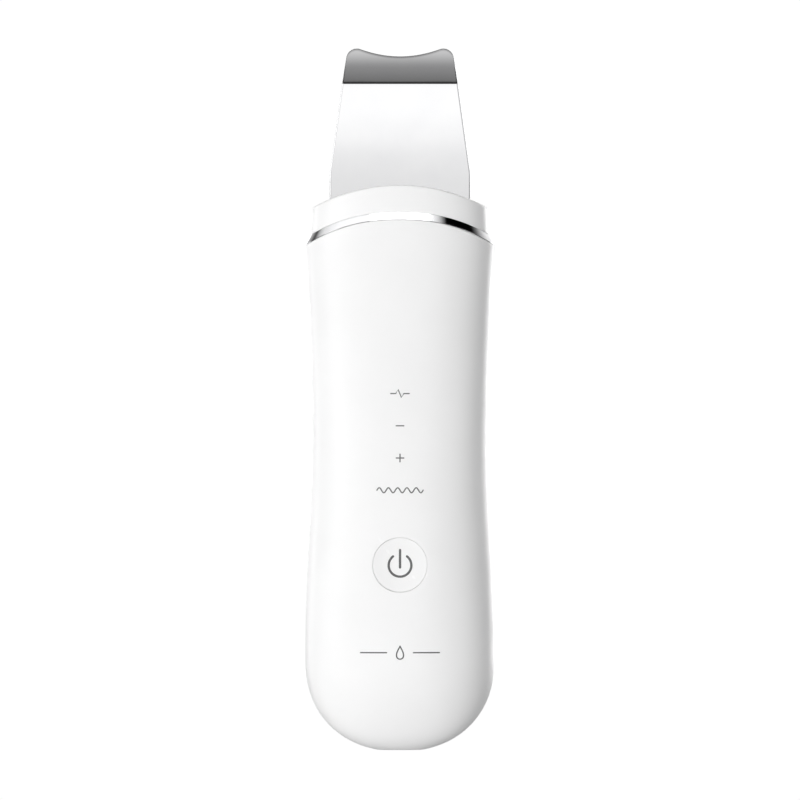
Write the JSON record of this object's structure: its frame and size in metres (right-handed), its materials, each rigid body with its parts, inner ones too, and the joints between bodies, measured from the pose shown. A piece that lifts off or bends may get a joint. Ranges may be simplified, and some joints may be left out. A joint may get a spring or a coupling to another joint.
{
  "type": "ultrasonic skin scrubber",
  "caption": "Handheld skin scrubber: a waisted white handset with a round power button, a bright ring under its nose, and a wide polished steel blade with a bent, hollow-edged tip.",
  "frame": {"origin": "under the middle of the rounded palm end, at the height of its lowest point, half way through the depth", "axes": "+Z along the handset towards the blade, -Y out of the front with the power button, +X to the right for someone looking at the front"},
  "size_m": [0.0454, 0.0239, 0.1682],
  "materials": {
    "body_plastic": "satin moulded white",
    "nose_plastic": "satin moulded white",
    "button_plastic": "satin moulded white, dished",
    "ring_chrome": "bright plated",
    "blade_steel": "polished stainless steel",
    "plate_steel": "fine brushed",
    "port_steel": "satin",
    "plain_steel": "satin",
    "grey_plastic": "moulded",
    "dark_plastic": "moulded",
    "white_nylon": "moulded",
    "clear_plastic": "clear polished",
    "silicone": "soft matte",
    "board_laminate": "solder mask",
    "cell_wrap": "shrink film",
    "foam": "open foam",
    "horn_aluminium": "machined",
    "electrode_brass": "stamped",
    "piezo_ceramic": "sintered",
    "white_led": "moulded lens",
    "red_lead": "insulation",
    "black_lead": "insulation"
  },
  "bodies": {
    "handset": {"back_mass": "plain_steel", "battery_cell": "cell_wrap", "battery_connector": "white_nylon", "battery_lead_black": "black_lead", "battery_lead_red": "red_lead", "battery_pad": "foam", "blade": "blade_steel", "blade_pin": "plain_steel", "blade_seal": "silicone", "board_screw_1": "plain_steel", "board_screw_2": "plain_steel", "board_screw_3": "plain_steel", "board_screw_4": "plain_steel", "charging_port": "port_steel", "chrome_ring": "ring_chrome", "clamp_bolt": "plain_steel", "contact_plate": "plate_steel", "contact_spring": "electrode_brass", "cradle_left": "grey_plastic", "cradle_right": "grey_plastic", "cradle_screw_left": "plain_steel", "cradle_screw_right": "plain_steel", "electrode_1": "electrode_brass", "electrode_2": "electrode_brass", "front_shell": "body_plastic", "horn": "horn_aluminium", "indicator_led_1": "white_led", "indicator_led_2": "white_led", "indicator_led_3": "white_led", "indicator_led_4": "white_led", "isolator_sleeve": "silicone", "light_guide_1": "clear_plastic", "light_guide_2": "clear_plastic", "light_guide_3": "clear_plastic", "light_guide_4": "clear_plastic", "main_board": "board_laminate", "microcontroller": "dark_plastic", "nose_collar": "nose_plastic", "piezo_ring_1": "piezo_ceramic", "piezo_ring_2": "piezo_ceramic", "port_bezel": "grey_plastic", "rear_shell": "body_plastic", "step_up_transformer": "dark_plastic", "switch_housing": "dark_plastic", "transducer_lead_ground": "black_lead", "transducer_lead_live": "red_lead", "tuning_inductor": "dark_plastic"},
    "button": {"power_button": "button_plastic", "switch_plunger": "grey_plastic"}
  },
  "joints": [
    {"name": "power_button_press", "type": "slide", "parent": "handset", "child": "button", "axis": [0, 1, 0], "range_m": [0, 0.0005], "stiffness_N_per_m": 800, "springref_m": -0.001}
  ]
}
